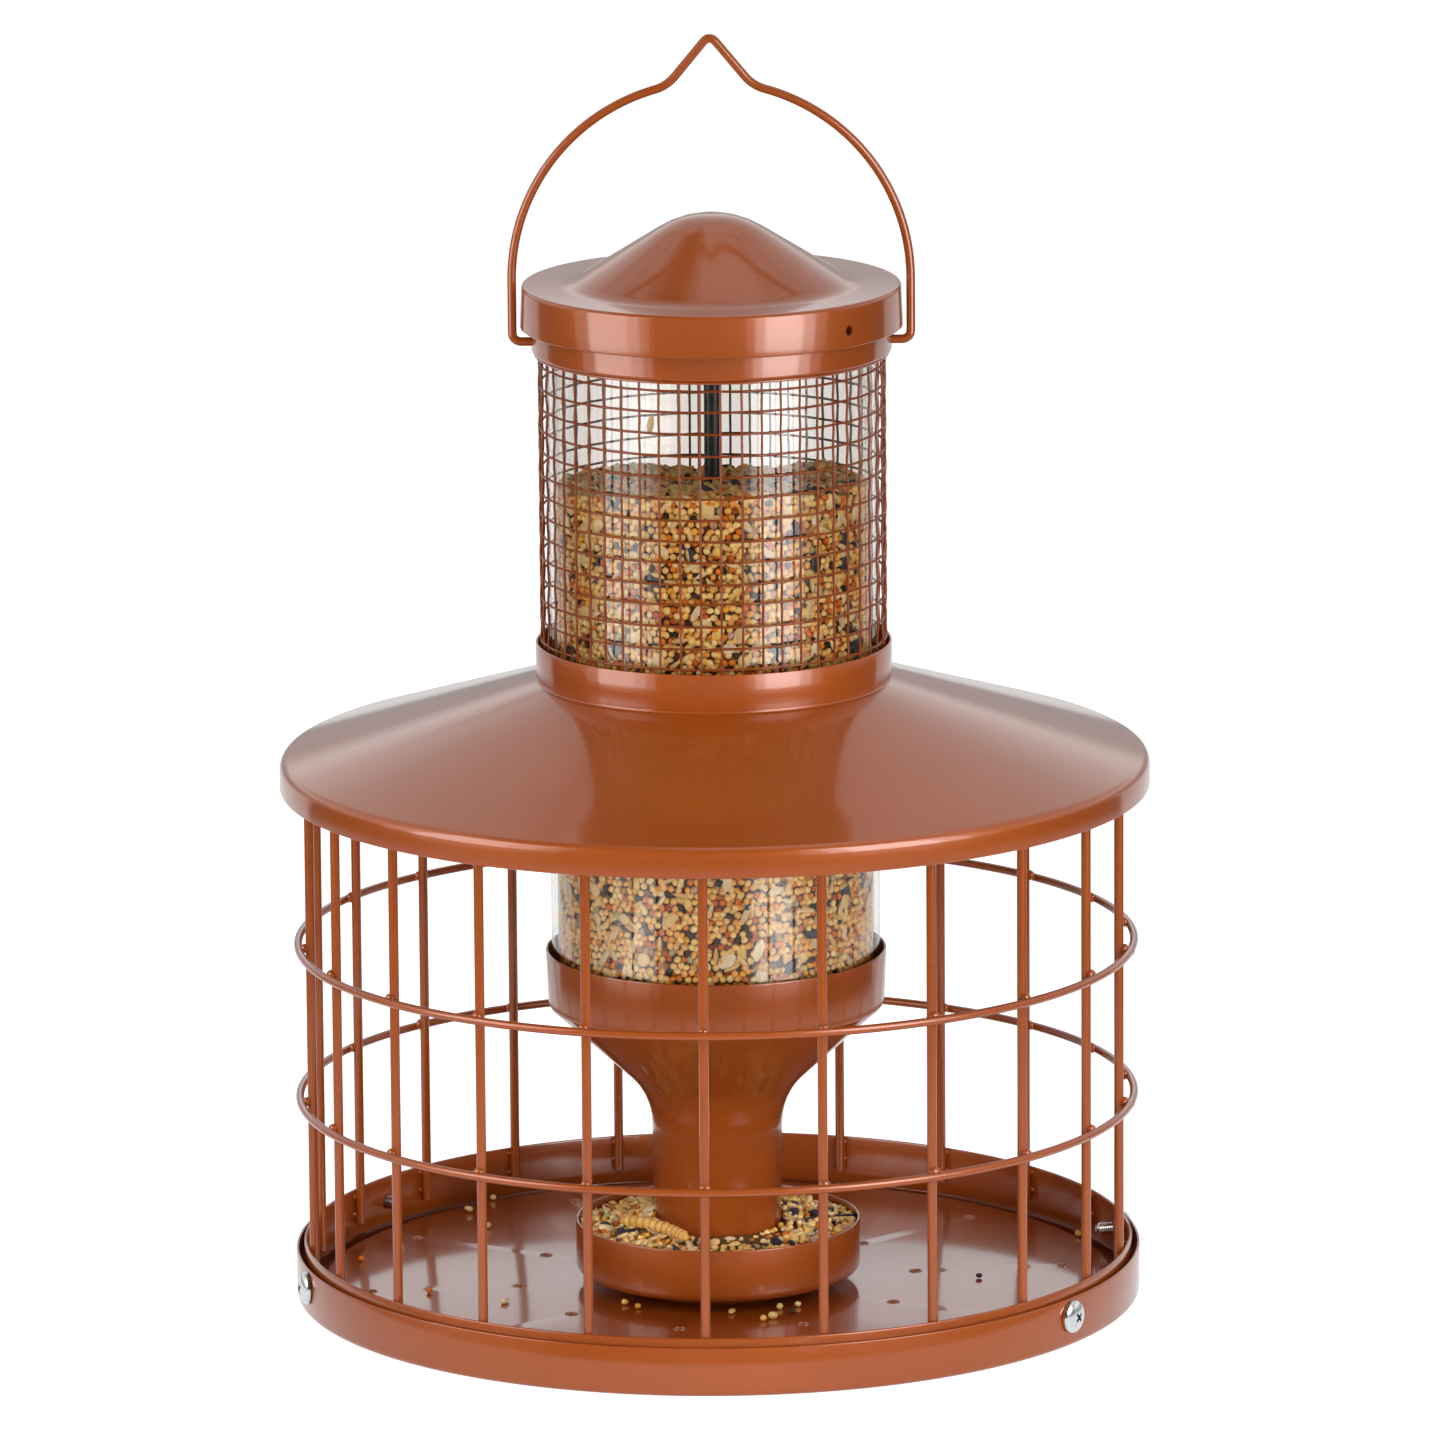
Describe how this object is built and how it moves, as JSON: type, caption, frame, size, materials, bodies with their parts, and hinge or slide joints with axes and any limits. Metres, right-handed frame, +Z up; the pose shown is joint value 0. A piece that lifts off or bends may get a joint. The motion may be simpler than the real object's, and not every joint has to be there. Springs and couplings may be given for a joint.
{
  "type": "squirrel proof bird feeder",
  "caption": "Caged tube bird feeder: clear seed tube in a wire guard, sheet roof, funnel over a dish, round tray, lift-off lid and swinging hanging bail.",
  "frame": {"origin": "on the ground under the middle of the tray", "axes": "+Z up along the axis of the seed tube, -Y to the front, +X to the right along the bail's pivots"},
  "size_m": [0.2636, 0.2636, 0.3875],
  "materials": {
    "brown_paint": "glossy copper-brown powder paint, slightly metallic",
    "plated_steel": "bright zinc plating",
    "black_rod": "black, satin",
    "clear_plastic": "clear, glossy",
    "seed": "dry mixed seed, matt"
  },
  "bodies": {
    "feeder": {"tray": "brown_paint", "cage_band": "brown_paint", "cage_ring_lower": "brown_paint", "cage_ring_upper": "brown_paint", "cage_ring_top": "brown_paint", "cage_wire_01": "brown_paint", "cage_wire_02": "brown_paint", "cage_wire_03": "brown_paint", "cage_wire_04": "brown_paint", "cage_wire_05": "brown_paint", "cage_wire_06": "brown_paint", "cage_wire_07": "brown_paint", "cage_wire_08": "brown_paint", "cage_wire_09": "brown_paint", "cage_wire_10": "brown_paint", "cage_wire_11": "brown_paint", "cage_wire_12": "brown_paint", "cage_wire_13": "brown_paint", "cage_wire_14": "brown_paint", "cage_wire_15": "brown_paint", "cage_wire_16": "brown_paint", "cage_wire_17": "brown_paint", "cage_wire_18": "brown_paint", "cage_wire_19": "brown_paint", "cage_wire_20": "brown_paint", "cage_wire_21": "brown_paint", "cage_wire_22": "brown_paint", "tray_screw_1": "plated_steel", "tray_screw_2": "plated_steel", "tray_screw_3": "plated_steel", "tray_screw_4": "plated_steel", "seed_dish": "brown_paint", "funnel": "brown_paint", "seed_tube": "clear_plastic", "centre_rod": "black_rod", "rod_washer": "plated_steel", "rod_nut_bottom": "plated_steel", "rod_nut_top": "plated_steel", "tube_bridge": "plated_steel", "roof": "brown_paint", "guard_ring": "brown_paint", "wire_guard": "brown_paint", "top_collar": "brown_paint", "seed_fill": "seed", "dish_seed": "seed"},
    "lid": {"lid": "brown_paint"},
    "bail": {"bail": "brown_paint"}
  },
  "joints": [
    {"name": "lid_lift", "type": "slide", "parent": "feeder", "child": "lid", "axis": [0, 0, 1], "range_m": [0, 0.012]},
    {"name": "bail_swing", "type": "hinge", "parent": "feeder", "child": "bail", "pos_m": [0, 0, 0.2943], "axis": [1, 0, 0], "range_deg": [-135, 135]}
  ]
}
